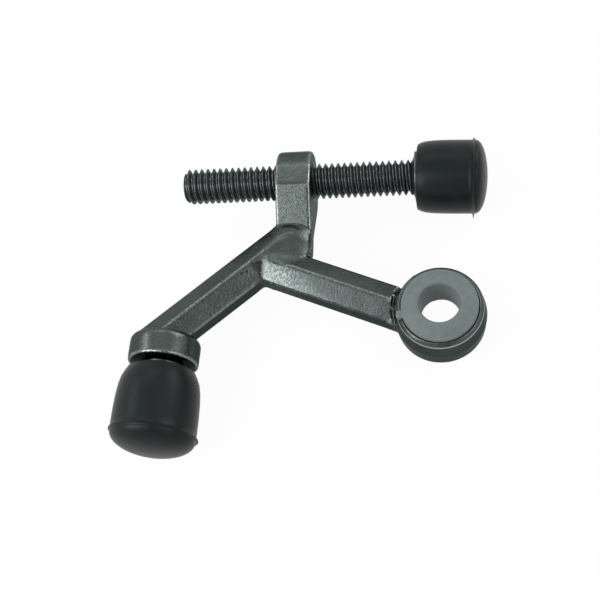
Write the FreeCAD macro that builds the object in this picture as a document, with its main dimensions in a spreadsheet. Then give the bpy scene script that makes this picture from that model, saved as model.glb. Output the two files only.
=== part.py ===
import FreeCAD, Part
import os
import re

import Sketcher

# Hinge pin door stop, millimetres. The origin is on the hinge pin's axis in the casting's parting plane.
# +Z is the pin's axis, and +X is the screw's axis, towards its rubber tip.

os.makedirs("parts", exist_ok=True)
doc = FreeCAD.newDocument("hinge_pin_door_stop")

dimensions = {
    # post and eye
    "screwHeight": (33.0, "screw axis above the pin axis"),
    "postOffset": (31.45, "middle of the post to the pin axis"),
    "postWidth": (7.8, "post across, and length of the eye"),
    "eyeRadius": (6.85, "outside of the eye"),
    "eyeDrop": (4.05, "screw axis down to the end of the eye's flat cheeks"),
    "postTaper": (26.6, "slope of the post's front and back, degrees"),
    "postWaist": (3.0, "thickness of the post at the hub"),
    "edgeRounding": (0.5, "rounding of the casting's long edges"),
    # arms and hub
    "webHeight": (3.8, "height of the arms' upright side walls"),
    "ridgeHeight": (8.7, "thickness of the arms at their ridges"),
    "ridgeRounding": (0.9, "rounding of the ridges"),
    "leftAngle": (39.8, "left arm below the screw's direction, degrees"),
    "leftOffset": (34.85, "left arm's centre line to the pin axis"),
    "leftWidth": (8.45, "left arm across its side walls"),
    "leftStart": (12.8, "start of the left arm along its centre line"),
    "leftReach": (47.15, "pad's axis along the left arm's centre line"),
    "rightAngle": (21.7, "right arm below the screw's direction, degrees"),
    "rightOffset": (2.1, "right arm's centre line to the pin axis"),
    "rightWidth": (8.6, "right arm across its side walls"),
    "hubBack": (32.3, "hub's centre behind the pin axis"),
    "hubUp": (17.2, "hub's centre above the pin axis"),
    "hubRadius": (5.1, "hub at its rim"),
    "hubSlope": (30.0, "slope of the hub's sides, degrees"),
    "hubRounding": (6.0, "rounding of the hub's top"),
    "hubHip": (3.0, "length of the sloped end of the left arm's ridge"),
    # ring and bush
    "ringWall": (1.65, "wall of the ring at its parting line"),
    "shoulderWall": (1.0, "wall of the ring at its upper shoulder"),
    "shoulderHeight": (3.4, "parting plane up to the upper shoulder"),
    "ringHeight": (4.3, "parting plane up to the ring's upper face"),
    "footWall": (1.35, "wall of the ring at its lower shoulder"),
    "footDepth": (4.2, "parting plane down to the lower shoulder"),
    "ringDepth": (4.9, "parting plane down to the ring's lower face"),
    "ringLip": (0.35, "width of the ring's upper face"),
    "armGap": (1.05, "right arm's ridge to the ring's upper shoulder"),
    "bushRadius": (8.05, "outside of the bush"),
    "bushProud": (0.6, "bush above the ring's upper face"),
    "bushEdge": (0.25, "chamfer round the bush's faces"),
    "boreRadius": (4.05, "bush bore, a little over a 5/16 inch pin"),
    "boreEntry": (1.1, "rounding of the bore's upper end"),
    "bushLength": (6.9, "bush along the pin"),
    "lipBore": (5.0, "opening of the casting's lip under the bush"),
    "keyAngle": (192.6, "key tab round the pin axis, degrees"),
    "keyWidth": (1.85, "key tab across"),
    "keyReach": (0.8, "key tab past the bush"),
    "keyDepth": (2.0, "key tab along the pin"),
    "keyDrop": (0.25, "key tab below the bush's face"),
    # collar and stud
    "padAngle": (93.3, "pad's axis below the screw's direction, degrees"),
    "collarRadius": (7.6, "collar"),
    "collarStart": (0.7, "arm's centre line to the collar's back"),
    "collarLength": (5.9, "collar along its axis"),
    "collarRounding": (0.45, "rounding of the collar's front rim"),
    "collarShoulder": (1.5, "rounding of the collar's back rim"),
    "studRadius": (4.2, "stud's neck, in the pad's mouth"),
    "studGap": (1.6, "collar to the pad"),
    "studHead": (5.6, "stud's head"),
    "studLength": (3.4, "stud's head along its axis"),
    # arm pad
    "padLip": (2.6, "thickness of the pad's mouth"),
    "padMouth": (7.35, "pad at its mouth"),
    "padShoulder": (8.4, "pad past its mouth"),
    "padShoulderAt": (2.4, "mouth to that shoulder"),
    "padSide": (9.1, "pad at its mould line, under the fin"),
    "padFin": (9.5, "pad over the fin"),
    "padFinAt": (14.1, "mouth to the mould line"),
    "padEdge": (1.8, "rounding into the domed end"),
    "padDome": (2.4, "rise of the domed end"),
    # screw
    "screwRadius": (3.88, "screw over its thread"),
    "threadPitch": (1.411, "one turn of the thread along the screw"),
    "threadDepth": (0.85, "depth of the thread"),
    "threadCrest": (0.2, "flat on the thread's crests"),
    "screwClearance": (0.08, "round the screw in the eye"),
    "screwTail": (21.5, "screw past the eye's far face"),
    "screwChamfer": (0.7, "chamfer of the screw's free end"),
    "flangeBack": (5.05, "flange's back to the pin axis, along the screw"),
    "flangeThick": (0.55, "flange"),
    "flangeFlare": (0.8, "cone behind the flange"),
    "flangeRadius": (5.65, "flange"),
    "neckRadius": (3.4, "neck in the tip's mouth"),
    "headRadius": (4.8, "head inside the tip"),
    "headLength": (3.2, "head along the screw"),
    # tip
    "tipLip": (2.6, "thickness of the tip's mouth"),
    "tipClearance": (0.08, "tip round the neck and the head"),
    "tipTilt": (2.6, "tip's lean on the flange, degrees"),
    "tipSeat": (0.05, "flange's front sunk in the tip's back"),
    "tipMouth": (7.35, "tip at its back"),
    "tipShoulder": (7.85, "tip past its back"),
    "tipShoulderAt": (2.0, "back to that shoulder"),
    "tipSide": (8.07, "tip at its mould line, under the fin"),
    "tipFin": (8.9, "tip over the fin"),
    "tipFinAt": (12.25, "back to the mould line"),
    "tipEdge": (1.7, "rounding into the domed end"),
    "tipDome": (1.1, "rise of the domed end"),
    # pad and tip
    "finThick": (0.36, "mould line's fin at its root"),
}

sheet = doc.addObject("Spreadsheet::Sheet", "Dimensions")
for row, (alias, (size, meaning)) in enumerate(dimensions.items(), start=1):
    sheet.set(f"A{row}", meaning)
    sheet.set(f"B{row}", str(size))
    sheet.setAlias(f"B{row}", alias)
doc.recompute()


def linked(text):
    return re.sub(r"\b([a-z]+[A-Z][A-Za-z]*)\b", r"Dimensions.\1", str(text))


def value_of(text):
    return float(sheet.evalExpression(str(text)))


def along(distance, angle, aside="0"):
    """Point at a distance in a direction, and aside to its left."""
    turn = f"(({angle}) * 1deg)"
    return (f"(({distance}) * cos{turn} - ({aside}) * sin{turn})",
            f"(({distance}) * sin{turn} + ({aside}) * cos{turn})")


def place(item, angle="0", across="0", up="0", height="0"):
    item.Placement = FreeCAD.Placement(FreeCAD.Vector(), FreeCAD.Rotation(FreeCAD.Vector(0, 0, 1), 10))
    item.setExpression(".Placement.Rotation.Angle", linked(angle))
    item.setExpression(".Placement.Base.x", linked(across))
    item.setExpression(".Placement.Base.y", linked(up))
    item.setExpression(".Placement.Base.z", linked(height))


def new_body(name):
    body = doc.addObject("PartDesign::Body", name)
    body.Label = name
    return body


def bind(sketch, number, name, text):
    sketch.renameConstraint(number, name)
    sketch.setExpression("Constraints." + name, linked(text))


def edge_between(start, end, corner):
    """Straight edge, or an arc to the left of it (1) or to the right (-1), 2 or -2 the long way round."""
    if len(corner) == 2:
        return Part.LineSegment(start, end)
    radius = value_of(corner[2])
    chord = end - start
    depth = max(radius ** 2 - chord.Length ** 2 / 4, 0) ** 0.5
    side = corner[3] / abs(corner[3])
    rise = radius - depth if abs(corner[3]) == 1 else radius + depth
    left = FreeCAD.Vector(-chord.y, chord.x, 0).normalize()
    return Part.Arc(start, (start + end) / 2 + left * side * rise, end)


def draw(body, role, corners):
    """Closed outline through corners (across, up), with radius and side where an arc leads on."""
    plane = next(item for item in body.Origin.OriginFeatures if item.Role == role)
    sketch = body.newObject("Sketcher::SketchObject", body.Name + "_outline")
    sketch.AttachmentSupport = [(plane, "")]
    sketch.MapMode = "FlatFace"
    places = [FreeCAD.Vector(value_of(corner[0]), value_of(corner[1]), 0) for corner in corners]
    count = len(corners)
    for index, corner in enumerate(corners):
        sketch.addGeometry(edge_between(places[index], places[(index + 1) % count], corner), False)
    # a clockwise arc runs from its end to its start
    first = [2 if len(corner) > 2 and corner[3] > 0 else 1 for corner in corners]
    for index in range(count):
        following = (index + 1) % count
        sketch.addConstraint(Sketcher.Constraint("Coincident", index, 3 - first[index], following,
                                                 first[following]))
    for index, corner in enumerate(corners):
        for kind, text, distance in (("X", corner[0], places[index].x), ("Y", corner[1], places[index].y)):
            number = sketch.addConstraint(Sketcher.Constraint("Distance" + kind, -1, 1, index, first[index],
                                                              distance))
            bind(sketch, number, f"place{kind}{index}", text)
        if len(corner) > 2:
            number = sketch.addConstraint(Sketcher.Constraint("Radius", index, value_of(corner[2])))
            bind(sketch, number, f"radius{index}", corner[2])
    return sketch


def pad(body, role, corners, length, midplane=False):
    feature = body.newObject("PartDesign::Pad", body.Name + "_pad")
    feature.Profile = draw(body, role, corners)
    feature.Midplane = midplane
    feature.setExpression("Length", linked(length))
    doc.recompute()
    return feature


def turned(name, corners, role="XY_Plane", axis="H_Axis"):
    """Body of revolution: its outline is (along the axis, radius), or (radius, along) about the V axis."""
    body = new_body(name)
    sketch = draw(body, role, corners)
    feature = body.newObject("PartDesign::Revolution", name + "_turned")
    feature.Profile = sketch
    feature.ReferenceAxis = (sketch, [axis])
    feature.Angle = 360
    doc.recompute()
    return body


def round_edges(body, feature, name, radius, picked):
    fillet = body.newObject("PartDesign::Fillet", name)
    fillet.Base = (feature, [f"Edge{i + 1}" for i, edge in enumerate(feature.Shape.Edges) if picked(edge)])
    fillet.setExpression("Radius", linked(radius))
    doc.recompute()
    return fillet


def slope_end(body, run, width):
    """Slope the bar's start down from both ridges, over the given run."""
    for side in ("", "-"):
        pocket = body.newObject("PartDesign::Pocket", body.Name + "_hip")
        pocket.Profile = draw(body, "XZ_Plane", [
            ("-1", f"{side}webHeight / 2"),
            ("0", f"{side}webHeight / 2"),
            (run, f"{side}ridgeHeight / 2"),
            (run, f"{side}ridgeHeight"),
            ("-1", f"{side}ridgeHeight"),
        ])
        pocket.Midplane = True
        pocket.setExpression("Length", linked(f"2 * {width}"))
        doc.recompute()
    return pocket


def arm(name, width, length, angle, across, up, hip=None):
    """Bar with upright side walls and a rounded ridge above and below, along its own +X."""
    body = new_body(name)
    wall = "webHeight / 2"
    ridge = "ridgeHeight / 2"
    half = f"{width} / 2"
    bar = pad(body, "YZ_Plane", [
        (f"-{half}", f"-{wall}"),
        ("0", f"-{ridge}"),
        (half, f"-{wall}"),
        (half, wall),
        ("0", ridge),
        (f"-{half}", wall),
    ], length)
    if hip:
        bar = slope_end(body, hip, width)
    rounded = round_edges(body, bar, name + "_ridges", "ridgeRounding",
                          lambda edge: edge.BoundBox.XLength > 8 and abs(edge.BoundBox.Center.y) < 1)
    round_edges(body, rounded, name + "_walls", "edgeRounding",
                lambda edge: edge.BoundBox.XLength > 8 and abs(edge.BoundBox.Center.y) > 3)
    place(body, angle, across, up)
    return body


def fuse(name, pieces):
    whole = doc.addObject("Part::MultiFuse", name)
    whole.Shapes = pieces
    whole.Refine = True
    return whole


def cut(name, base, tool):
    result = doc.addObject("Part::Cut", name)
    result.Base = base
    result.Tool = tool
    return result


def box(name, length, width, height):
    solid = doc.addObject("Part::Box", name)
    solid.setExpression("Length", linked(length))
    solid.setExpression("Width", linked(width))
    solid.setExpression("Height", linked(height))
    return solid


def cylinder(name, radius, length):
    tool = doc.addObject("Part::Cylinder", name)
    tool.setExpression("Radius", linked(radius))
    tool.setExpression("Height", linked(length))
    return tool


# Casting: two arms from the hub, the post with the eye, the ring, and the collar with its stud

left_angle = "180 + leftAngle"
left_foot = along("leftOffset", "90 + leftAngle")
left_start = along("leftStart", left_angle)
left_end = along("leftReach", left_angle)
pad_origin = [f"{foot} + {step}" for foot, step in zip(left_foot, left_end)]
left_arm = arm("left_arm", "leftWidth", "leftReach + 0.8 * collarRadius - leftStart", left_angle,
               f"{left_foot[0]} + {left_start[0]}", f"{left_foot[1]} + {left_start[1]}", "hubHip")

# the left arm ends inside the collar, and the right arm in the plane of the left arm's ridges
pad_trim = box("pad_trim", "3 * collarRadius", "6 * collarRadius", "4 * ridgeHeight")
trim_corner = along("collarStart + collarLength - 2 * collarRounding", "-padAngle", "-3 * collarRadius")
place(pad_trim, "-padAngle", f"{pad_origin[0]} + {trim_corner[0]}", f"{pad_origin[1]} + {trim_corner[1]}",
      "-2 * ridgeHeight")
left_trimmed = cut("left_arm_trimmed", left_arm, pad_trim)

right_angle = "180 - rightAngle"
right_foot = along("rightOffset", "270 - rightAngle")
right_start = along("0.8 * bushRadius", right_angle)
right_arm = arm("right_arm", "rightWidth", "hubBack + hubRadius + 4", right_angle,
                f"{right_foot[0]} + {right_start[0]}", f"{right_foot[1]} + {right_start[1]}")
ridge_trim = box("ridge_trim", "leftReach", "4 * leftWidth", "4 * ridgeHeight")
place(ridge_trim, "leftAngle", pad_origin[0], pad_origin[1], "-2 * ridgeHeight")

# above the ring's shoulder the right arm stops short of the ring
ring_room = cylinder("ring_room", "bushRadius + shoulderWall + armGap", "ridgeHeight")
place(ring_room, "0", "0", "0", "shoulderHeight - 0.2")
right_trimmed = cut("right_arm_trimmed", right_arm, fuse("right_arm_trims", [ridge_trim, ring_room]))

post = new_body("post")
eye_low = "screwHeight - eyeDrop"
waist_up = f"{eye_low} - (eyeRadius - postWaist / 2) / tan(postTaper * 1deg)"
post_bar = pad(post, "YZ_Plane", [
    ("hubUp - hubRadius", "-postWaist / 2"),
    (waist_up, "-postWaist / 2"),
    (eye_low, "-eyeRadius"),
    ("screwHeight", "-eyeRadius", "eyeRadius", -1),
    ("screwHeight + eyeRadius", "0", "eyeRadius", -1),
    ("screwHeight", "eyeRadius"),
    (eye_low, "eyeRadius"),
    (waist_up, "postWaist / 2"),
    ("hubUp - hubRadius", "postWaist / 2"),
], "postWidth", midplane=True)
round_edges(post, post_bar, "post_edges", "edgeRounding",
            lambda edge: edge.BoundBox.XLength < 0.001 and edge.BoundBox.YMax > value_of(waist_up) + 1)
place(post, "0", "-postOffset")

crown = "(ridgeHeight / 2 - 0.15)"
round_out = "hubRounding * sin(hubSlope * 1deg)"
round_up = f"({crown} - hubRounding * (1 - cos(hubSlope * 1deg)))"
rim_up = f"({round_up} - (hubRadius - {round_out}) * tan(hubSlope * 1deg))"
hub = turned("hub", [
    ("0", f"-{crown}", "hubRounding", -1),
    (round_out, f"-{round_up}"),
    ("hubRadius", f"-{rim_up}"),
    ("hubRadius", rim_up),
    (round_out, round_up, "hubRounding", -1),
    ("0", crown),
], "XZ_Plane", "V_Axis")
place(hub, "0", "-hubBack", "hubUp")

# the notch between the post's right wall and the right arm's upper wall stays open
wall_across = "postWidth / 2 - postOffset"
notch_up = f"(rightWidth / 2 - rightOffset - ({wall_across}) * sin(rightAngle * 1deg)) / cos(rightAngle * 1deg)"
notch = new_body("notch")
pad(notch, "XY_Plane", [
    (wall_across, notch_up),
    (f"{wall_across} + 2 * hubRadius", f"{notch_up} - 2 * hubRadius * tan(rightAngle * 1deg)"),
    (f"{wall_across} + 2 * hubRadius", f"{notch_up} + 2 * hubRadius"),
    (wall_across, f"{notch_up} + 2 * hubRadius"),
], "3 * ridgeHeight", midplane=True)
hub_trimmed = cut("hub_trimmed", hub, notch)

ring = turned("ring", [
    ("lipBore", "-ringDepth"),
    ("bushRadius + ringLip", "-ringDepth"),
    ("bushRadius + footWall", "-footDepth"),
    ("bushRadius + ringWall", "0"),
    ("bushRadius + shoulderWall", "shoulderHeight"),
    ("bushRadius + ringLip", "ringHeight"),
    ("lipBore", "ringHeight"),
], "XZ_Plane", "V_Axis")

collar_end = "(collarStart + collarLength)"
head_start = f"({collar_end} + studGap + padLip)"
collar = turned("collar", [
    ("collarStart", "0"),
    ("collarStart", "collarRadius - collarShoulder", "collarShoulder", 1),
    ("collarStart + collarShoulder", "collarRadius"),
    (f"{collar_end} - collarRounding", "collarRadius", "collarRounding", 1),
    (collar_end, "collarRadius - collarRounding"),
    (collar_end, "studRadius"),
    (head_start, "studRadius"),
    (head_start, "studHead"),
    (f"{head_start} + studLength - 1", "studHead"),
    (f"{head_start} + studLength", "studHead - 1"),
    (f"{head_start} + studLength", "0"),
])
place(collar, "-padAngle", pad_origin[0], pad_origin[1])

casting = fuse("casting", [left_trimmed, right_trimmed, post, hub_trimmed, ring, collar])

face_height = "(ringHeight + bushProud)"
bush_seat = cylinder("bush_seat", "bushRadius", "2 * bushLength")
place(bush_seat, "0", "0", "0", f"{face_height} - bushLength")
eye_bore = cylinder("eye_bore", "screwRadius + screwClearance", "2 * postWidth")
eye_bore.Placement.Rotation = FreeCAD.Rotation(FreeCAD.Vector(0, 1, 0), 90)
eye_bore.setExpression(".Placement.Base.x", linked("-postOffset - postWidth"))
eye_bore.setExpression(".Placement.Base.y", linked("screwHeight"))
key_slot = box("key_slot", "bushRadius + keyReach", "keyWidth", "keyDepth")
key_corner = along("0", "keyAngle", "-keyWidth / 2")
place(key_slot, "keyAngle", key_corner[0], key_corner[1], f"{face_height} - keyDrop - keyDepth")

openings = fuse("casting_openings", [bush_seat, eye_bore, key_slot])
cast_body = cut("cast_body", casting, openings)
cast_body.Refine = True

# Nylon bush with its key tab

bush_foot = f"({face_height} - bushLength)"
bush = turned("bush", [
    ("boreRadius", bush_foot),
    ("bushRadius - bushEdge", bush_foot),
    ("bushRadius", f"{bush_foot} + bushEdge"),
    ("bushRadius", f"{face_height} - bushEdge"),
    ("bushRadius - bushEdge", face_height),
    ("boreRadius + boreEntry", face_height, "boreEntry", -1),
    ("boreRadius", f"{face_height} - boreEntry"),
], "XZ_Plane", "V_Axis")
key = box("key", "bushRadius + keyReach - boreRadius - boreEntry - 1", "keyWidth", "keyDepth")
key_base = along("boreRadius + boreEntry + 1", "keyAngle", "-keyWidth / 2")
place(key, "keyAngle", key_base[0], key_base[1], f"{face_height} - keyDrop - keyDepth")
pin_bush = fuse("pin_bush", [bush, key])

# Rubber pad of the arm, over the stud's head

pad_start = f"({collar_end} + studGap)"
pad_top = f"({pad_start} + padFinAt + finThick / 2 + padEdge)"
arm_pad = turned("arm_pad", [
    (pad_start, "studRadius"),
    (pad_start, "padMouth"),
    (f"{pad_start} + padShoulderAt", "padShoulder", "8 * padSide", 1),
    (f"{pad_start} + padFinAt - finThick / 2", "padSide"),
    (f"{pad_start} + padFinAt", "padFin"),
    (f"{pad_start} + padFinAt + finThick / 2", "padSide - 0.2", "padEdge", 1),
    (pad_top, "padSide - 0.2 - padEdge", "((padSide - 0.2 - padEdge) ^ 2 + padDome ^ 2) / (2 * padDome)", 1),
    (f"{pad_top} + padDome", "0"),
    (f"{head_start} + studLength", "0"),
    (f"{head_start} + studLength", "studHead - 1"),
    (f"{head_start} + studLength - 1", "studHead"),
    (head_start, "studHead"),
    (head_start, "studRadius"),
])
place(arm_pad, "-padAngle", pad_origin[0], pad_origin[1])

# Screw, with its flange behind the tip and a headed neck inside it

flange_front = "(flangeThick - flangeBack)"
screw_end = "(-(postOffset + postWidth / 2 + screwTail))"
head_back = f"({flange_front} + tipLip + tipClearance)"
screw = turned("adjusting_screw", [
    (screw_end, "0"),
    (screw_end, "screwRadius - screwChamfer"),
    (f"{screw_end} + screwChamfer", "screwRadius"),
    ("-flangeBack - flangeFlare", "screwRadius"),
    ("-flangeBack", "screwRadius + flangeFlare"),
    ("-flangeBack", "flangeRadius"),
    (flange_front, "flangeRadius"),
    (flange_front, "neckRadius"),
    (head_back, "neckRadius"),
    (head_back, "headRadius"),
    (f"{head_back} + headLength - 1", "headRadius"),
    (f"{head_back} + headLength", "headRadius - 1"),
    (f"{head_back} + headLength", "0"),
])

# the thread's grooves, one pitch apart
groove_open = "(threadPitch - threadCrest)"
groove = screw.newObject("PartDesign::Groove", "thread_groove")
groove.Profile = draw(screw, "XY_Plane", [
    (f"{screw_end} + threadPitch", "screwRadius"),
    (f"{screw_end} + threadPitch + {groove_open} / 2", "screwRadius - threadDepth"),
    (f"{screw_end} + threadPitch + {groove_open}", "screwRadius"),
])
groove.ReferenceAxis = (groove.Profile[0], ["H_Axis"])
groove.Angle = 360
turns = f"floor((-flangeBack - flangeFlare - {screw_end}) / threadPitch - 1)"
thread = screw.newObject("PartDesign::LinearPattern", "thread")
thread.Originals = [groove]
thread.Direction = (groove.Profile[0], ["H_Axis"])
thread.setExpression("Length", linked(f"({turns} - 1) * threadPitch"))
thread.setExpression("Occurrences", linked(turns))
screw.Tip = thread
doc.recompute()
place(screw, "0", "0", "screwHeight")

# Rubber tip: its outside leans a little on the flange, and its cavity stays in line with the screw

tip_back = f"({flange_front} - tipSeat)"
tip_top = "(tipFinAt + finThick / 2 + tipEdge)"
tip_outside = turned("tip_outside", [
    ("0", "0"),
    ("0", "tipMouth"),
    ("tipShoulderAt", "tipShoulder", "6 * tipSide", 1),
    ("tipFinAt - finThick / 2", "tipSide"),
    ("tipFinAt", "tipFin"),
    ("tipFinAt + finThick / 2", "tipSide - 0.2", "tipEdge", 1),
    (tip_top, "tipSide - 0.2 - tipEdge", "((tipSide - 0.2 - tipEdge) ^ 2 + tipDome ^ 2) / (2 * tipDome)", 1),
    (f"{tip_top} + tipDome", "0"),
])
place(tip_outside, "-tipTilt", tip_back, "screwHeight")
tip_cavity = turned("tip_cavity", [
    (f"{flange_front} - 2", "0"),
    (f"{flange_front} - 2", "flangeRadius + tipClearance"),
    (f"{flange_front} + tipClearance", "flangeRadius + tipClearance"),
    (f"{flange_front} + tipClearance", "neckRadius + tipClearance"),
    (f"{head_back} - tipClearance", "neckRadius + tipClearance"),
    (f"{head_back} - tipClearance", "headRadius + tipClearance"),
    (f"{head_back} + headLength - 1", "headRadius + tipClearance"),
    (f"{head_back} + headLength + tipClearance", "headRadius + tipClearance - 1"),
    (f"{head_back} + headLength + tipClearance", "0"),
])
place(tip_cavity, "0", "0", "screwHeight")
screw_tip = cut("screw_tip", tip_outside, tip_cavity)

doc.recompute()

nodes = {
    "cast_body": cast_body,
    "pin_bush": pin_bush,
    "arm_pad": arm_pad,
    "adjusting_screw": screw,
    "screw_tip": screw_tip,
}

for item in doc.Objects:
    if "Invalid" in item.State or "Error" in item.State:
        raise RuntimeError(f"{item.Label} failed: {item.State}")
for name, item in nodes.items():
    if item.Shape.isNull() or not item.Shape.isValid() or len(item.Shape.Solids) != 1:
        raise RuntimeError(f"{name} is not one valid solid")

for name, item in nodes.items():
    item.Shape.exportStep(f"parts/{name}.step")
    print(name, round(item.Shape.Volume, 1), "mm3")
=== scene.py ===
import math

import bmesh
import bpy
from mathutils import Matrix, Vector


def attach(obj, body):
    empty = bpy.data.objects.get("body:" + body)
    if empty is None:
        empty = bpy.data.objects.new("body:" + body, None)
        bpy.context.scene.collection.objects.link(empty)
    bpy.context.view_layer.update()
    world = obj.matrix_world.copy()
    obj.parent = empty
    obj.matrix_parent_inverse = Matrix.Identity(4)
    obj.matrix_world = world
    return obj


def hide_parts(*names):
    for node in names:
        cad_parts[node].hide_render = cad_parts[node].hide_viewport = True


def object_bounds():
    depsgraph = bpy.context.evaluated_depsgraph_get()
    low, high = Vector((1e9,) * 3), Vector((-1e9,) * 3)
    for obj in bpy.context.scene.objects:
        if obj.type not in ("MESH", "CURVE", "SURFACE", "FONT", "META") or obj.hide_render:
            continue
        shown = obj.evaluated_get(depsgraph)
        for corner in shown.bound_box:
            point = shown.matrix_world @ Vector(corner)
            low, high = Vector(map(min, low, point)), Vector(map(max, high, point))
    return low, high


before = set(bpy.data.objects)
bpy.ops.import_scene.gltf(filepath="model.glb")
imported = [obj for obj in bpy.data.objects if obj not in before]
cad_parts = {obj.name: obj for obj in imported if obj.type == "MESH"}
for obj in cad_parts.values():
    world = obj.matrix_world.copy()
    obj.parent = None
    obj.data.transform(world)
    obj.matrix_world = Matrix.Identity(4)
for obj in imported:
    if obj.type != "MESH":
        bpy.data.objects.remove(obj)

cadBox = [list(corner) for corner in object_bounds()]
mm = 0.001
print("stage: frame loaded")


# Selection and modifiers

def clearSelection():
    if bpy.context.object and bpy.context.object.mode != "OBJECT":
        bpy.ops.object.mode_set(mode="OBJECT")
    bpy.ops.object.select_all(action="DESELECT")


def makeActive(piece):
    clearSelection()
    piece.select_set(True)
    bpy.context.view_layer.objects.active = piece


def pick(piece, test):  # vertices by their place, in edit mode
    shape = bmesh.from_edit_mesh(piece.data)
    for vertex in shape.verts:
        vertex.select = test(vertex.co / mm)
    shape.select_flush_mode()
    bmesh.update_edit_mesh(piece.data)


def applyModifier(piece, kind, **settings):
    makeActive(piece)
    modifier = piece.modifiers.new(kind.lower(), kind)
    for name, value in settings.items():
        setattr(modifier, name, value)
    bpy.ops.object.modifier_apply(modifier=modifier.name)


def smoothShade(piece, degrees):
    makeActive(piece)
    bpy.ops.object.shade_smooth_by_angle(angle=math.radians(degrees))


def turnPiece(name, rings, sides, bored=False):
    # a disc across +X, pulled out ring by ring: (along, radius) in mm; a bored one is a closed tube
    clearSelection()
    along, radius = rings[0]
    bpy.ops.mesh.primitive_circle_add(vertices=sides, radius=radius * mm,
                                      fill_type="NOTHING" if bored else "TRIFAN",
                                      location=(along * mm, 0, 0), rotation=(0, math.pi / 2, 0))
    piece = bpy.context.object
    piece.name = name
    bpy.ops.object.transform_apply(location=True, rotation=True, scale=True)
    bpy.ops.object.mode_set(mode="EDIT")
    bpy.ops.mesh.select_all(action="SELECT")
    for ring in rings[1:]:
        ratio = ring[1] / radius
        bpy.ops.mesh.extrude_region_move(TRANSFORM_OT_translate={"value": ((ring[0] - along) * mm, 0, 0)})
        along, radius = ring
        bpy.ops.transform.resize(value=(1, ratio, ratio), center_override=(along * mm, 0, 0))
    bpy.ops.mesh.select_all(action="SELECT")
    if bored:
        bpy.ops.mesh.remove_doubles(threshold=0.001 * mm)
    bpy.ops.mesh.normals_make_consistent(inside=False)
    bpy.ops.object.mode_set(mode="OBJECT")
    return piece


def placePiece(piece, across=0.0, up=0.0, height=0.0, turn=(0, 0, 0)):  # mm and degrees
    makeActive(piece)
    piece.rotation_euler = [math.radians(angle) for angle in turn]
    piece.location = (across * mm, up * mm, height * mm)
    bpy.ops.object.transform_apply(location=True, rotation=True, scale=True)


def roundOver(along, radius, size, start, end, steps):  # rings round an edge, angles from straight outwards
    rings = []
    for step in range(steps + 1):
        angle = math.radians(start + (end - start) * step / steps)
        rings.append((along + size * math.sin(angle), radius + size * math.cos(angle)))
    return rings


# Shader maths

class Wire:  # a number socket that works in sums
    def __init__(self, tree, socket):
        self.tree = tree
        self.socket = socket

    def work(self, operation, first, second=0.0):
        node = self.tree.nodes.new("ShaderNodeMath")
        node.operation = operation
        for slot, value in zip(node.inputs, (first, second)):
            if isinstance(value, Wire):
                self.tree.links.new(value.socket, slot)
            else:
                slot.default_value = value
        return Wire(self.tree, node.outputs[0])

    def __add__(self, other):
        return self.work("ADD", self, other)

    def __radd__(self, other):
        return self.work("ADD", other, self)

    def __sub__(self, other):
        return self.work("SUBTRACT", self, other)

    def __rsub__(self, other):
        return self.work("SUBTRACT", other, self)

    def __mul__(self, other):
        return self.work("MULTIPLY", self, other)

    def __rmul__(self, other):
        return self.work("MULTIPLY", other, self)

    def __abs__(self):
        return self.work("ABSOLUTE", self)


class Finish:
    def __init__(self, name):
        self.material = bpy.data.materials.new(name)
        self.material.use_nodes = True
        self.tree = self.material.node_tree
        self.tree.nodes.clear()
        self.place = self.add("ShaderNodeTexCoord", output="Object")

    def add(self, kind, settings=None, sockets=None, output=0):
        node = self.tree.nodes.new(kind)
        for name, value in (settings or {}).items():
            setattr(node, name, value)
        for name, value in (sockets or {}).items():
            if isinstance(value, Wire):
                self.tree.links.new(value.socket, node.inputs[name])
            else:
                node.inputs[name].default_value = value
        return Wire(self.tree, node.outputs[output]) if node.outputs else node

    def cloud(self, size, detail=2.0, roughness=0.5):  # noise whose lumps are this many mm
        return self.add("ShaderNodeTexNoise", sockets={"Vector": self.place, "Scale": 1000 / size,
                                                       "Detail": detail, "Roughness": roughness})

    def ramp(self, value, low, high, start=0.0, end=1.0):
        return self.add("ShaderNodeMapRange", {"interpolation_type": "SMOOTHSTEP"},
                        {"Value": value, "From Min": low, "From Max": high, "To Min": start, "To Max": end})

    def axis(self, name):  # distance along X, Y or Z in mm
        return self.add("ShaderNodeSeparateXYZ", sockets={0: self.place}, output=name) * 1000

    def facing(self, name):  # how far the surface faces along X, Y or Z
        normal = self.add("ShaderNodeTexCoord", output="Normal")
        return self.add("ShaderNodeSeparateXYZ", sockets={0: normal}, output=name)

    def around(self):  # distance from the hinge pin's axis in mm
        flat = self.add("ShaderNodeVectorMath", {"operation": "MULTIPLY"}, {0: self.place, 1: (1, 1, 0)})
        return self.add("ShaderNodeVectorMath", {"operation": "LENGTH"}, {0: flat}, output="Value") * 1000

    def near(self, point):  # distance from a point in mm
        target = [part * mm for part in point]
        return self.add("ShaderNodeVectorMath", {"operation": "DISTANCE"}, {0: self.place, 1: target},
                        output="Value") * 1000

    def tint(self, amount, dark, light):  # between two colours, each a value or a wire
        dark, light = (end if isinstance(end, Wire) else (*end, 1) for end in (dark, light))
        return self.add("ShaderNodeMix", {"data_type": "RGBA"}, {"Factor": amount, 6: dark, 7: light}, output=2)

    def bump(self, height, depth):  # depth in mm for a height of 1
        return self.add("ShaderNodeBump", sockets={"Height": height, "Distance": depth * mm, "Strength": 1.0})

    def surface(self, **sockets):
        named = {name.replace("_", " "): value for name, value in sockets.items()}
        shader = self.add("ShaderNodeBsdfPrincipled", sockets=named)
        self.add("ShaderNodeOutputMaterial", sockets={"Surface": shader})
        return self.material


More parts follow.
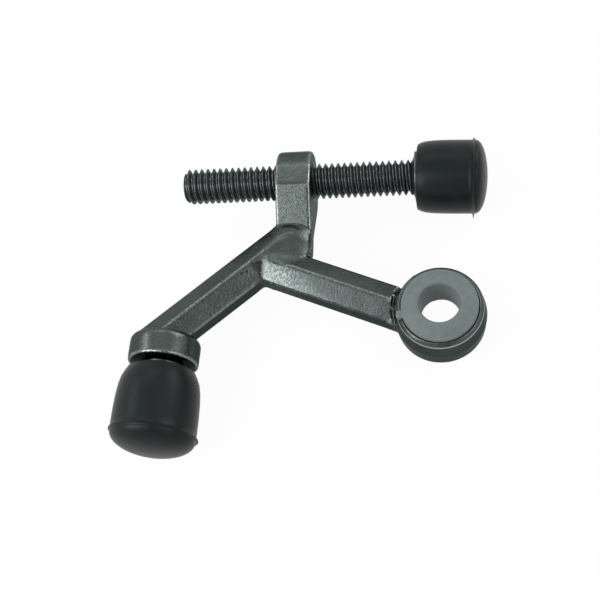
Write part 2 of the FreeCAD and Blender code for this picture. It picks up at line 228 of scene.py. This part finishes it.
rightArm = {"across": -0.776, "up": -1.951, "heading": 158.3, "start": 9.5, "end": 36.0, "edge": 2.9,
            "level": 0.9, "rounds": 6}
# painted light: the bright colour serves both edge wear and painted highlights, and the facet and speck values
# set a painted shade and a painted highlight on the right arm's lower face
castLook = {"dark": (0.03, 0.036, 0.035), "light": (0.085, 0.1, 0.096), "wearAndHighlight": (0.36, 0.4, 0.39),
            "graze": (0.48, 0.52, 0.51), "roughness": 0.24, "grain": 0.5, "grainDepth": 0.055, "paintedFacetShade": 0.8,
            "edgeWearAndHighlight": 0.72, "highlightSpeck": 0.15, "highlightSpot": (-36.5, 7.4, 1.8), "shoulder": (9.1, 3.32),
            "pits": ((-42.03, 9.04, 3.7, 0.42), (-40.99, 9.55, 3.6, 0.36))}


def castFinish():
    finish = Finish("tumbledCasting")
    grain = finish.cloud(castLook["grain"], 3.0, 0.65)
    patches = finish.cloud(5.0, 3.0)
    # painted shade: faces turned up or down are painted lighter and the side walls darker, by how light falls
    # on them
    facesLitWallsShaded = finish.ramp(abs(finish.facing("Z")), 0.1, 0.75)
    across, up, height, reach = finish.axis("X"), finish.axis("Y"), finish.axis("Z"), finish.around()
    ringWallLessShade = finish.ramp(reach, 10.6, 9.9) * 0.3  # painted shade: the ring's wall gets less of the painted wall shade than the arms' sides
    speckled = 0.55 + finish.ramp(grain * 0.6 + patches * 0.4, 0.36, 0.64) * 0.45
    # random mottle together with the painted wall shade
    mottleAndShade = (0.12 + ringWallLessShade + facesLitWallsShaded * (0.88 - ringWallLessShade)) * speckled
    # painted shade: two small pits are dented by the bump and painted darker inside
    pitDentAndShade = 0.0
    for *place, size in castLook["pits"]:
        pitDentAndShade = pitDentAndShade + finish.ramp(finish.near(place), size, size * 0.4)
    parting = finish.ramp(abs(height), 0.16, 0.03)
    proud = finish.add("ShaderNodeAttribute", {"attribute_name": "proud"}, output="Fac")
    # painted shade: hollow places near the ring are painted darker
    creaseShade = finish.ramp(proud, -0.02, -0.12) * finish.ramp(reach, 9.0, 9.6)
    turn = math.radians(rightArm["heading"])
    across, up = across - rightArm["across"], up - rightArm["up"]
    along = across * math.cos(turn) + up * math.sin(turn)  # along the right arm, and across it
    aside = up * math.cos(turn) - across * math.sin(turn)
    facet = finish.ramp(aside, 0.0, 0.5) * finish.ramp(along, 8.5, 9.6) * finish.ramp(along, 39.0, 38.0)
    paintedFacetShade = facet * finish.ramp(along + aside * 4.6 + grain * 16, 57.0, 41.5)  # painted shade: the lower face is painted darker towards the ring, where its highlight fades
    # the base colour carries the painted wall, pit, crease and facet shade
    baseWithShade = finish.tint(mottleAndShade * (1 - pitDentAndShade * 0.9) * (1 - creaseShade * 0.7) * (1 - paintedFacetShade * castLook["paintedFacetShade"]),
                        castLook["dark"], castLook["light"])
    shoulder = castLook["shoulder"]  # the ring's shoulder line is painted bright, partly edge wear and partly a painted highlight, but not beside the arm
    line = finish.ramp(abs(reach - shoulder[0]) + abs(height - shoulder[1]), 0.26, 0.08)
    line = line * finish.ramp(along, 8.4, 7.4)
    # convex edges are painted bright, partly edge wear and partly a painted highlight
    edges = finish.ramp(proud, 0.035, 0.12) * (1 - finish.ramp(reach, 9.2, 9.0)) * castLook["edgeWearAndHighlight"]
    # painted highlight: bright specks on the right arm's lower face near the hub
    highlightSpecks = facet * finish.ramp(finish.near(castLook["highlightSpot"]), 11.0, 2.0)
    highlightSpecks = highlightSpecks * finish.ramp(grain, 0.42, 0.6) * castLook["highlightSpeck"]
    # edge wear and painted highlights share one bright colour, thinned where the facet is painted darker
    wearAndHighlightGrain = (0.35 + finish.ramp(grain, 0.4, 0.6) * 0.65) * (1 - paintedFacetShade * 0.6)
    wearAndHighlight = (edges * (1 - line) + line) * wearAndHighlightGrain + highlightSpecks
    return finish.surface(
        Base_Color=finish.tint(wearAndHighlight + line, baseWithShade, castLook["wearAndHighlight"]),
        Metallic=1.0,
        Roughness=castLook["roughness"] + patches * 0.12 - 0.06 + (1 - facesLitWallsShaded) * 0.12,
        Specular_Tint=(*castLook["graze"], 1),
        Normal=finish.bump(grain + patches * 2.5 + parting * 0.8 - pitDentAndShade * 4.0, castLook["grainDepth"]))


screwLook = {"dark": (0.075, 0.084, 0.084), "light": (0.135, 0.15, 0.15), "graze": (0.45, 0.5, 0.5),
             "roughness": 0.33, "metallic": 0.9, "grainDepth": 0.006}


def screwFinish():
    finish = Finish("platedScrew")
    grain = finish.cloud(0.5, 3.0, 0.6)
    return finish.surface(
        Base_Color=finish.tint(finish.ramp(grain, 0.35, 0.65), screwLook["dark"], screwLook["light"]),
        Metallic=screwLook["metallic"],
        Roughness=screwLook["roughness"] + grain * 0.1 - 0.05,
        Specular_Tint=(*screwLook["graze"], 1),
        Normal=finish.bump(grain, screwLook["grainDepth"]))


rubberLook = {"dark": (0.0078, 0.0102, 0.0102), "light": (0.0105, 0.013, 0.013), "roughness": 0.34,
              "gloss": 0.14, "graze": (0.86, 1.0, 0.98), "grainDepth": 0.012}


def rubberFinish():
    finish = Finish("mouldedRubber")
    grain = finish.cloud(0.6, 4.0, 0.6)
    patches = finish.cloud(6.0, 2.0)
    return finish.surface(
        Base_Color=finish.tint(finish.ramp(patches, 0.35, 0.65), rubberLook["dark"], rubberLook["light"]),
        Roughness=rubberLook["roughness"] + patches * 0.14 - 0.07 + grain * 0.06,
        Specular_IOR_Level=rubberLook["gloss"],
        Specular_Tint=(*rubberLook["graze"], 1),
        Normal=finish.bump(grain, rubberLook["grainDepth"]))


bushLook = {"dark": (0.129, 0.155, 0.154), "light": (0.148, 0.178, 0.176), "roughness": 0.5,
            "gloss": 0.3, "grainDepth": 0.01}


def bushFinish():
    finish = Finish("mouldedNylon")
    grain = finish.cloud(1.2, 3.0)
    return finish.surface(
        Base_Color=finish.tint(finish.ramp(grain, 0.3, 0.7), bushLook["dark"], bushLook["light"]),
        Roughness=bushLook["roughness"] + grain * 0.08,
        Specular_IOR_Level=bushLook["gloss"],
        Normal=finish.bump(grain, bushLook["grainDepth"]))


castMetal = castFinish()
screwMetal = screwFinish()
rubber = rubberFinish()
nylon = bushFinish()


def dress(piece, body, finish, node):
    piece.data.materials.clear()
    piece.data.materials.append(finish)
    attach(piece, body)
    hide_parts(node)


print("stage: finishes ready")


# Casting: its cast skin, with every edge and inner corner softened

castSkin = {"voxel": 0.27, "rounds": 4, "factor": 0.5, "proudRounds": 24}
hubTop = 20.8  # the hub's blending ends below the post
hubWedge = ((-37.9, 8.4, 1.9), (-36.5, 13.0, 4.25), (-41.3, 11.0, 4.2))  # fills the valley between the arms
softSpots = [  # place across and up, height kept from the parting plane, radius, rounds
    (-32.0, 15.8, 2.0, 5.4, 24), (-33.0, 15.2, 2.0, 4.6, 40), (-32.6, 14.6, 2.0, 3.6, 60),
    (-38.2, 8.2, 0.0, 1.8, 6)]
eyeRim = {"across": -31.45, "half": 3.9, "up": 33.0, "radius": 5.2, "band": 1.2, "rounds": 10}
ringCrest = {"inner": 8.8, "outer": 9.4, "low": 2.95, "high": 3.75, "widen": 1.008, "raise": 0.03}
ringGroove = {"inner": 9.5, "outer": 10.15, "ledge": 8.7, "ledgeLow": 2.8, "lift": 0.35, "low": 1.0,
              "high": 3.2, "sink": 0.5, "past": 7.6,
              "softInner": 8.6, "softOuter": 10.3, "softLow": 0.8, "softRounds": 2}
ringLip = {"radius": 5.6, "low": -2.6, "widen": 1.05}


def makeWedge(corners):  # a three-cornered block, the same above and below the parting plane
    clearSelection()
    bpy.ops.mesh.primitive_cylinder_add(vertices=3, radius=2 * mm, depth=4 * mm)
    wedge = bpy.context.object
    places = [vertex.co / mm for vertex in wedge.data.vertices]
    starts = sorted({(round(place.x, 3), round(place.y, 3)) for place in places})
    bpy.ops.object.mode_set(mode="EDIT")
    for start, corner in zip(starts, corners):
        for side in (1, -1):
            pick(wedge, lambda place: math.hypot(place.x - start[0], place.y - start[1]) < 0.01
                 and abs(place.z - side * 2) < 0.01)
            bpy.ops.transform.translate(value=((corner[0] - start[0]) * mm, (corner[1] - start[1]) * mm,
                                               side * (corner[2] - 2) * mm))
    bpy.ops.mesh.select_all(action="SELECT")
    bpy.ops.mesh.normals_make_consistent(inside=False)
    bpy.ops.object.mode_set(mode="OBJECT")
    return wedge


def markProud(piece, rounds):  # how far each place stands out of a softer copy of the casting, in mm
    soft = piece.copy()
    soft.data = piece.data.copy()
    bpy.context.scene.collection.objects.link(soft)
    applyModifier(soft, "SMOOTH", factor=castSkin["factor"], iterations=rounds)
    proud = [(vertex.co - other.co).dot(vertex.normal) / mm
             for vertex, other in zip(piece.data.vertices, soft.data.vertices)]
    piece.data.attributes.new("proud", "FLOAT", "POINT").data.foreach_set("value", proud)
    bpy.data.objects.remove(soft)


def makeCasting():
    clearSelection()
    piece = bpy.data.objects.new("castSkin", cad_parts["cast_body"].data.copy())
    bpy.context.scene.collection.objects.link(piece)
    makeActive(piece)
    bpy.ops.object.mode_set(mode="EDIT")
    bpy.ops.mesh.select_all(action="SELECT")
    bpy.ops.mesh.remove_doubles(threshold=0.001 * mm)
    bpy.ops.object.mode_set(mode="OBJECT")
    wedge = makeWedge(hubWedge)
    makeActive(piece)
    wedge.select_set(True)
    bpy.ops.object.join()
    applyModifier(piece, "REMESH", mode="VOXEL", voxel_size=castSkin["voxel"] * mm, use_smooth_shade=True)
    applyModifier(piece, "SMOOTH", factor=castSkin["factor"], iterations=castSkin["rounds"])
    bpy.ops.object.mode_set(mode="EDIT")
    for across, up, height, radius, rounds in softSpots:  # the hub and the crotch are blended further
        pick(piece, lambda place: abs(place.z) > height and place.y < hubTop
             and math.hypot(place.x - across, place.y - up) < radius)
        bpy.ops.mesh.vertices_smooth(factor=0.5, repeat=rounds)
    rim = eyeRim
    pick(piece, lambda place: place.y > rim["up"] + 1
         and abs(abs(place.x - rim["across"]) - rim["half"]) < rim["band"]
         and math.hypot(place.y - rim["up"], place.z) > rim["radius"])
    bpy.ops.mesh.vertices_smooth(factor=0.5, repeat=rim["rounds"])
    turn = math.radians(rightArm["heading"])
    ahead = Vector((math.cos(turn), math.sin(turn)))
    foot = Vector((rightArm["across"], rightArm["up"]))
    pick(piece, lambda place: rightArm["start"] < (place.xy - foot).dot(ahead) < rightArm["end"]
         and ahead.x * (place.y - foot.y) - ahead.y * (place.x - foot.x) > rightArm["edge"]
         and abs(place.z) > rightArm["level"])
    bpy.ops.mesh.vertices_smooth(factor=0.5, repeat=rightArm["rounds"])
    crest = ringCrest
    pick(piece, lambda place: crest["inner"] < place.xy.length < crest["outer"]
         and crest["low"] < place.z < crest["high"] and (place.xy - foot).dot(ahead) < ringGroove["past"])
    bpy.ops.transform.resize(value=(crest["widen"], crest["widen"], 1), center_override=(0, 0, 0))
    bpy.ops.transform.translate(value=(0, 0, crest["raise"] * mm))
    groove = ringGroove  # between the ring's shoulder and the arm's end
    pick(piece, lambda place: groove["ledge"] < place.xy.length < groove["inner"]
         and place.z > groove["ledgeLow"] and (place.xy - foot).dot(ahead) > groove["past"])
    bpy.ops.transform.translate(value=(0, 0, groove["lift"] * mm))
    pick(piece, lambda place: groove["inner"] < place.xy.length < groove["outer"]
         and groove["low"] < place.z < groove["high"] and (place.xy - foot).dot(ahead) > groove["past"])
    bpy.ops.transform.translate(value=(0, 0, -groove["sink"] * mm))
    pick(piece, lambda place: groove["softInner"] < place.xy.length < groove["softOuter"]
         and place.z > groove["softLow"] and (place.xy - foot).dot(ahead) > groove["past"])
    bpy.ops.mesh.vertices_smooth(factor=0.5, repeat=groove["softRounds"])
    pick(piece, lambda place: place.xy.length < ringLip["radius"] and place.z < ringLip["low"])
    bpy.ops.transform.resize(value=(ringLip["widen"], ringLip["widen"], 1), center_override=(0, 0, 0))
    bpy.ops.object.mode_set(mode="OBJECT")
    markProud(piece, castSkin["proudRounds"])
    dress(piece, "casting", castMetal, "cast_body")
    print("casting faces", len(piece.data.polygons))


makeCasting()
print("stage: casting made")


# Bush, with a rounded mouth and a key tab

bushSize = {"outside": 8.03, "bore": 4.15, "foot": -2.0, "face": 4.9, "edge": 0.25, "mouth": 0.8, "dome": 1.1,
            "domeShares": (0.3, 0.6, 0.85, 1.0), "mouthSteps": 8, "sides": 128,
            "keyAngle": 192.6, "keyRoot": 1.2, "keyEnd": 9.05, "keyWidth": 1.8, "keyTop": 4.72, "keyDepth": 1.9, "keyEdge": 0.15}


def makeBush():
    size = bushSize
    edge = size["edge"]
    mouth = size["mouth"]
    rings = [(size["foot"], size["bore"]), (size["foot"], size["outside"] - edge),
             (size["foot"] + edge, size["outside"])]
    rings += roundOver(size["face"] - edge, size["outside"] - edge, edge, 0, 90, 5)
    inner = size["bore"] + mouth
    for share in size["domeShares"]:  # the face rises a little towards the bore
        reach = size["outside"] - 2 * edge + (inner - size["outside"] + 2 * edge) * share
        rings.append((size["face"] + size["dome"] * (1 - (1 - share) ** 2), reach))
    for step in range(1, size["mouthSteps"] + 1):
        angle = math.radians(90 * step / size["mouthSteps"])
        rings.append((size["face"] + size["dome"] - mouth + mouth * math.cos(angle),
                      inner - mouth * math.sin(angle)))
    rings.append((size["foot"], size["bore"]))
    piece = turnPiece("boredBush", rings, size["sides"], bored=True)
    placePiece(piece, turn=(0, -90, 0))
    clearSelection()
    start = size["outside"] - size["keyRoot"]
    bpy.ops.mesh.primitive_cube_add(size=mm)
    key = bpy.context.object
    key.scale = (size["keyEnd"] - start, size["keyWidth"], size["keyDepth"])
    bpy.ops.object.transform_apply(scale=True)
    applyModifier(key, "BEVEL", width=size["keyEdge"] * mm, segments=3)
    turn = math.radians(size["keyAngle"])
    reach = (start + size["keyEnd"]) / 2
    placePiece(key, reach * math.cos(turn), reach * math.sin(turn), size["keyTop"] - size["keyDepth"] / 2,
               (0, 0, size["keyAngle"]))
    applyModifier(piece, "BOOLEAN", operation="UNION", object=key, solver="EXACT")
    bpy.data.objects.remove(key)
    smoothShade(piece, 35)
    dress(piece, "casting", nylon, "pin_bush")


makeBush()
print("stage: bush made")


# Screw: one turn of the thread swept along, cut off at both ends, with a coned free end and a flange

screwSize = {"height": 33.0, "pitch": 1.4111, "crest": 3.93, "root": 2.98, "crestFlat": 0.16, "rootFlat": 0.2,
             "tail": -56.85, "end": -5.7, "cone": 0.9, "sides": 64, "flangeBack": -5.05,
             "flangeThick": 0.55, "flangeRadius": 5.65, "neck": 3.4, "head": 4.8}


def makeThread():
    size = screwSize
    pitch = size["pitch"]
    start = size["tail"] - 2 * pitch
    turns = math.ceil((size["end"] - start) / pitch) + 2
    flank = (pitch - size["crestFlat"] - size["rootFlat"]) / 2
    profile = [(0, size["root"]), (size["rootFlat"], size["root"]), (size["rootFlat"] + flank, size["crest"]),
               (size["rootFlat"] + flank + size["crestFlat"], size["crest"]), (pitch, size["root"])]
    clearSelection()
    bpy.ops.mesh.primitive_grid_add(x_subdivisions=len(profile) - 1, y_subdivisions=1, size=pitch * mm)
    piece = bpy.context.object
    piece.name = "threadedScrew"
    bpy.ops.object.mode_set(mode="EDIT")
    pick(piece, lambda place: place.y > 0)
    bpy.ops.mesh.delete(type="VERT")
    columns = sorted(vertex.co.x / mm for vertex in bmesh.from_edit_mesh(piece.data).verts)
    low = -pitch / 2
    for column, (along, radius) in reversed(list(zip(columns, profile))):
        pick(piece, lambda place: abs(place.x - column) < 1e-4 and abs(place.y - low) < 1e-4)
        bpy.ops.transform.translate(value=((start + along - column) * mm, (radius - low) * mm, 0))
    bpy.ops.object.mode_set(mode="OBJECT")
    applyModifier(piece, "SCREW", axis="X", angle=2 * math.pi, screw_offset=pitch * mm, iterations=turns,
                  steps=size["sides"], render_steps=size["sides"], use_normal_calculate=True)
    bpy.ops.object.mode_set(mode="EDIT")
    bpy.ops.mesh.select_all(action="SELECT")
    bpy.ops.mesh.remove_doubles(threshold=0.002 * mm)
    for along, outward in ((size["tail"] - 0.2, False), (size["end"], True)):
        bpy.ops.mesh.select_all(action="SELECT")
        bpy.ops.mesh.bisect(plane_co=(along * mm, 0, 0), plane_no=(1, 0, 0), use_fill=True,
                            clear_inner=not outward, clear_outer=outward)
    bpy.ops.mesh.select_all(action="SELECT")
    bpy.ops.mesh.normals_make_consistent(inside=False)
    bpy.ops.object.mode_set(mode="OBJECT")
    return piece


def makeScrew():
    size = screwSize
    thread = makeThread()
    blank = turnPiece("screwBlank", [
        (size["tail"], 0.4), (size["tail"], size["root"] + 0.05),
        (size["tail"] + size["cone"], size["crest"] + 0.05), (size["end"] + 1, size["crest"] + 0.05),
        (size["end"] + 1, 0.4)], size["sides"])
    applyModifier(thread, "BOOLEAN", operation="INTERSECT", object=blank, solver="EXACT")
    bpy.data.objects.remove(blank)
    back = size["flangeBack"]
    front = back + size["flangeThick"]
    rim = size["flangeRadius"]
    flange = turnPiece("screwFlange", [
        (back - 1.6, 0.4), (back - 1.6, size["root"] - 0.1), (back - 0.9, size["root"] + 0.25),
        (back - 0.45, size["crest"] + 0.05), (back - 0.15, size["crest"] + 0.7), (back, rim - 0.55),
        (back, rim - 0.12), (back + 0.04, rim - 0.03), (back + 0.12, rim), (front - 0.12, rim),
        (front - 0.04, rim - 0.03), (front, rim - 0.12), (front, size["neck"]), (front + 2.7, size["neck"]),
        (front + 2.7, size["head"]), (front + 5.0, size["head"]), (front + 5.9, size["head"] - 1),
        (front + 5.9, 0.4)], size["sides"] * 2)
    makeActive(thread)
    flange.select_set(True)
    bpy.ops.object.join()
    placePiece(thread, up=size["height"])
    smoothShade(thread, 40)
    dress(thread, "screw", screwMetal, "adjusting_screw")


makeScrew()
print("stage: screw made")


# Rubber: the arm's pad and the screw's tip, each with a ragged fin at its mould line

padSize = {"name": "rubberPad", "node": "arm_pad", "body": "casting", "across": -59.004, "up": -11.592,
           "heading": -93.3, "bore": 4.22, "lip": 2.6, "cavity": 5.62, "depth": 6.0,
           "wall": [(0.9, 7.72), (2.4, 8.38), (4.2, 8.74), (6.5, 8.96), (9.5, 9.08), (12.5, 9.1)],
           "mouth": 7.4, "finAt": 14.1, "side": 9.1, "fin": 9.5, "end": 18.25, "square": 2.05,
           "finShift": (0.0, 0.1), "finRoot": 0.3, "lean": 2.0}
tipSize = {"name": "rubberTip", "node": "screw_tip", "body": "tip", "across": -4.55, "up": 33.0,
           "heading": -2.6, "bore": 3.48, "lip": 2.6, "cavity": 4.88, "depth": 6.0,
           "wall": [(0.8, 7.55), (2.0, 7.85), (3.6, 8.0), (5.6, 8.07), (8.5, 8.09), (11.0, 8.08)],
           "mouth": 7.3, "finAt": 12.25, "side": 8.07, "fin": 8.9, "end": 15.25, "square": 2.05,
           "finShift": (0.0, -0.28), "finRoot": 0.45, "lean": 0.0}
rubberMesh = {"sides": 144, "edge": 0.35, "endSteps": 24, "finRag": 0.035, "seed": 3}


def makeRubber(size):
    fin = size["finAt"]
    side = size["side"]
    rings = [(size["depth"], 0.4), (size["depth"], size["cavity"]), (size["lip"], size["cavity"]),
             (size["lip"], size["bore"]), (0.25, size["bore"]), (0.07, size["bore"] + 0.07),
             (0, size["bore"] + 0.25)]
    rings += roundOver(rubberMesh["edge"], size["mouth"] - rubberMesh["edge"], rubberMesh["edge"], -90, 0, 5)
    rings += size["wall"]
    root = size["finRoot"]
    reach = size["fin"] - side
    rings += [(fin - root, side), (fin - root * 0.45, side + reach * 0.3),
              (fin - root * 0.15, side + reach * 0.8), (fin, size["fin"]),
              (fin + root * 0.15, side + reach * 0.8), (fin + root * 0.4, side + reach * 0.25),
              (fin + root * 0.8, side - 0.04)]
    start, crown = rings[-1]
    for step in range(1, rubberMesh["endSteps"]):  # a rounded end, a little squarer than an ellipse
        angle = math.radians(90 * step / rubberMesh["endSteps"])
        rings.append((start + (size["end"] - start) * math.sin(angle) ** (2 / size["square"]),
                      crown * math.cos(angle) ** (2 / size["square"])))
    rings.append((size["end"], 0.3))
    piece = turnPiece(size["name"], rings, rubberMesh["sides"])
    makeActive(piece)
    bpy.ops.object.mode_set(mode="EDIT")
    pick(piece, lambda place: abs(place.x - fin) < root * 0.2 and place.yz.length > side + reach * 0.5)
    bpy.ops.transform.translate(value=(size["finShift"][0] * mm, size["finShift"][1] * mm, 0))
    bpy.ops.transform.vertex_random(offset=rubberMesh["finRag"] * mm, seed=rubberMesh["seed"])
    if size["lean"]:  # the mould line and the domed end lean a little
        pick(piece, lambda place: place.x > fin - 0.5)
        bpy.ops.transform.rotate(value=math.radians(size["lean"]), orient_axis="Z",
                                 center_override=(fin * mm, 0, 0))
    bpy.ops.object.mode_set(mode="OBJECT")
    placePiece(piece, size["across"], size["up"], 0, (0, 0, size["heading"]))
    smoothShade(piece, 50)
    dress(piece, size["body"], rubber, size["node"])


makeRubber(padSize)
makeRubber(tipSize)
print("stage: rubber made")


# Floor, background and light

studio = {"floor": (0.9, 0.9, 0.9), "floorSide": 6, "floorGap": 0.0002, "floorGlow": 0.95, "ambient": 0.5}


def seenDirectly(add):  # camera, glossy and see-through rays
    path = "ShaderNodeLightPath"
    direct = add(path, output="Is Camera Ray") + add(path, output="Is Glossy Ray")
    return direct + add(path, output="Is Transmission Ray")


def makeStudio():
    clearSelection()
    bpy.ops.mesh.primitive_plane_add(size=studio["floorSide"],
                                     location=(0, 0, cadBox[0][2] - studio["floorGap"]))
    floor = bpy.context.object
    floor.name = "floor"
    finish = Finish("paleFloor")
    matt = finish.add("ShaderNodeBsdfDiffuse", sockets={"Color": (*studio["floor"], 1)})
    glow = finish.add("ShaderNodeEmission", sockets={"Color": (1, 1, 1, 1), "Strength": 1.0})
    mixed = finish.add("ShaderNodeMixShader", sockets={0: seenDirectly(finish.add) * studio["floorGlow"],
                                                       1: matt, 2: glow})
    finish.add("ShaderNodeOutputMaterial", sockets={"Surface": mixed})
    floor.data.materials.append(finish.material)
    world = bpy.data.worlds.new("studio")
    bpy.context.scene.world = world
    world.use_nodes = True
    sky = Finish.__new__(Finish)
    sky.tree = world.node_tree
    strength = studio["ambient"] + seenDirectly(sky.add) * (1 - studio["ambient"])
    background = sky.tree.nodes["Background"]
    background.inputs["Color"].default_value = (1, 1, 1, 1)
    sky.tree.links.new(strength.socket, background.inputs["Strength"])


lamps = {  # name: direction it stands in, distance, width, height, turn about its own axis, brightness
    "keyBox": ((-0.70, -0.43, 0.70), 0.3, 0.17, 0.15, -38, 5.9),
    "sideStrip": ((-0.76, 0.30, 0.58), 0.5, 0.12, 0.12, 0, 5.0),
    "topStrip": ((-0.17, 0.65, 0.74), 0.5, 0.28, 0.09, 0, 2.5),
    "frontBox": ((-0.20, -0.36, 0.91), 0.5, 0.13, 0.12, 0, 5.0),
    "fillBox": ((0.70, -0.2, 0.66), 0.5, 0.32, 0.12, 0, 3.0),
    "threadBox": ((0.66, 0.6, 0.46), 0.45, 0.2, 0.16, 0, 4.5),
}
card = {"direction": (0.13, -0.65, 0.75), "distance": 0.62, "width": 0.26, "height": 0.76, "level": 0.12}
aim = Vector((-0.03, 0.006, 0))


def stand(item, direction, distance, roll=0):
    back = Vector(direction).normalized()
    turn = (-back).to_track_quat("-Z", "Y").to_matrix().to_4x4()
    spin = Matrix.Rotation(math.radians(roll), 4, "Z")
    item.matrix_world = Matrix.Translation(aim + back * distance) @ turn @ spin


def makeLamps():
    for name, (direction, distance, width, height, roll, level) in lamps.items():
        lamp = bpy.data.lights.new(name, "AREA")
        lamp.shape = "RECTANGLE"
        lamp.size = width
        lamp.size_y = height
        lamp.energy = level * math.pi * width * height
        item = bpy.data.objects.new(name, lamp)
        bpy.context.scene.collection.objects.link(item)
        stand(item, direction, distance, roll)


view = {"azimuth": 20.253, "elevation": 64.455, "roll": -20.149, "target": (-29.851, 4.139, 0.0),
        "distance": 256.83, "lens": 72.0}


def makeCamera():
    azimuth, elevation, roll = (math.radians(view[name]) for name in ("azimuth", "elevation", "roll"))
    back = Vector((math.sin(azimuth) * math.cos(elevation), -math.cos(azimuth) * math.cos(elevation),
                   math.sin(elevation)))
    level = (-back).cross(Vector((0, 0, 1))).normalized()
    upright = level.cross(-back)
    right = level * math.cos(roll) + upright * math.sin(roll)
    up = upright * math.cos(roll) - level * math.sin(roll)
    lens = bpy.data.cameras.new("camera")
    lens.lens = view["lens"]
    lens.sensor_width = 36
    lens.clip_start = 0.01
    lens.clip_end = 20
    camera = bpy.data.objects.new("camera", lens)
    bpy.context.scene.collection.objects.link(camera)
    place = (Vector(view["target"]) + back * view["distance"]) * mm
    camera.matrix_world = Matrix.Translation(place) @ Matrix((right, up, back)).transposed().to_4x4()
    bpy.context.scene.camera = camera


def makeCard():  # a dark card beside the camera, seen only in reflections
    clearSelection()
    bpy.ops.mesh.primitive_plane_add(size=1)
    item = bpy.context.object
    item.name = "darkCard"
    item.scale = (card["width"], card["height"], 1)
    bpy.ops.object.transform_apply(scale=True)
    stand(item, card["direction"], card["distance"])
    bpy.ops.object.select_all(action="DESELECT")
    item.visible_camera = False
    item.visible_diffuse = False
    item.visible_transmission = False
    item.visible_shadow = False
    finish = Finish("cardFinish")
    glow = finish.add("ShaderNodeEmission", sockets={"Strength": card["level"]})
    finish.add("ShaderNodeOutputMaterial", sockets={"Surface": glow})
    item.data.materials.append(finish.material)


makeStudio()
makeLamps()
makeCard()
makeCamera()
bpy.context.scene.view_settings.view_transform = "Standard"
print("stage: studio ready")
